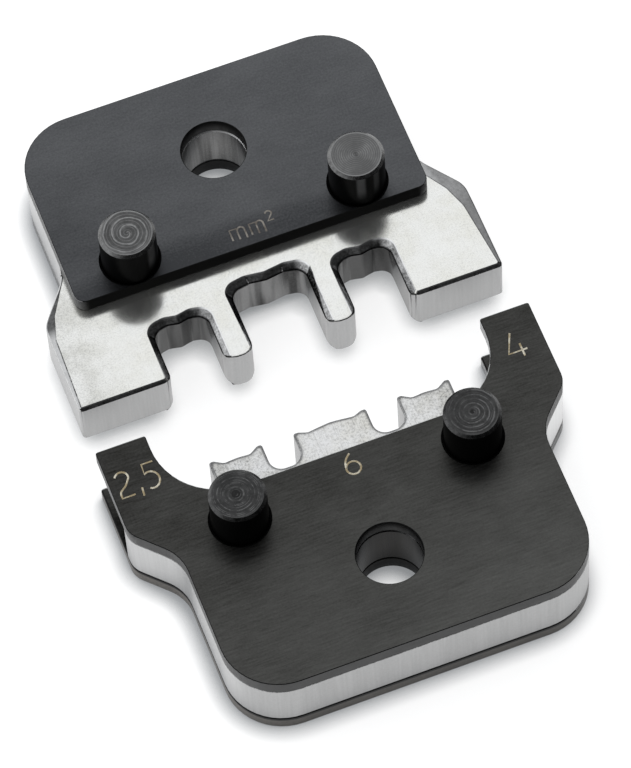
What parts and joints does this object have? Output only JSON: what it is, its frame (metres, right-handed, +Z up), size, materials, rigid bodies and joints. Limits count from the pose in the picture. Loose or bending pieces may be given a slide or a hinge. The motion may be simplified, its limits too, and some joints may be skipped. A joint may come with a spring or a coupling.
{
  "type": "crimp die insert",
  "caption": "Open crimping die pair for a hand tool: a nest half and a punch half, each a ground steel block between blackened side plates, with dowel pins and a screw hole.",
  "frame": {"origin": "under the middle of the open pair, on the face that both halves rest on", "axes": "+Y from the punch half to the nest half, +Z up along the dowel pins, +X to the 4 mm2 nest"},
  "size_m": [0.0398, 0.0596, 0.0124],
  "materials": {
    "ground_steel": "ground and polished tool steel",
    "blackened_plate": "matt blackened, finely brushed",
    "pin_steel": "black oxide, turned"
  },
  "bodies": {
    "punch_half": {"lower_die_block": "ground_steel", "lower_top_plate": "blackened_plate", "lower_bottom_plate": "blackened_plate", "lower_pin_left": "pin_steel", "lower_pin_right": "pin_steel"},
    "nest_half": {"upper_die_block": "ground_steel", "upper_top_plate": "blackened_plate", "upper_bottom_plate": "blackened_plate", "upper_pin_left": "pin_steel", "upper_pin_right": "pin_steel"}
  },
  "joints": [
    {"name": "die_closing", "type": "slide", "parent": "punch_half", "child": "nest_half", "axis": [0, -1, 0], "range_m": [0, 0.01175]}
  ]
}
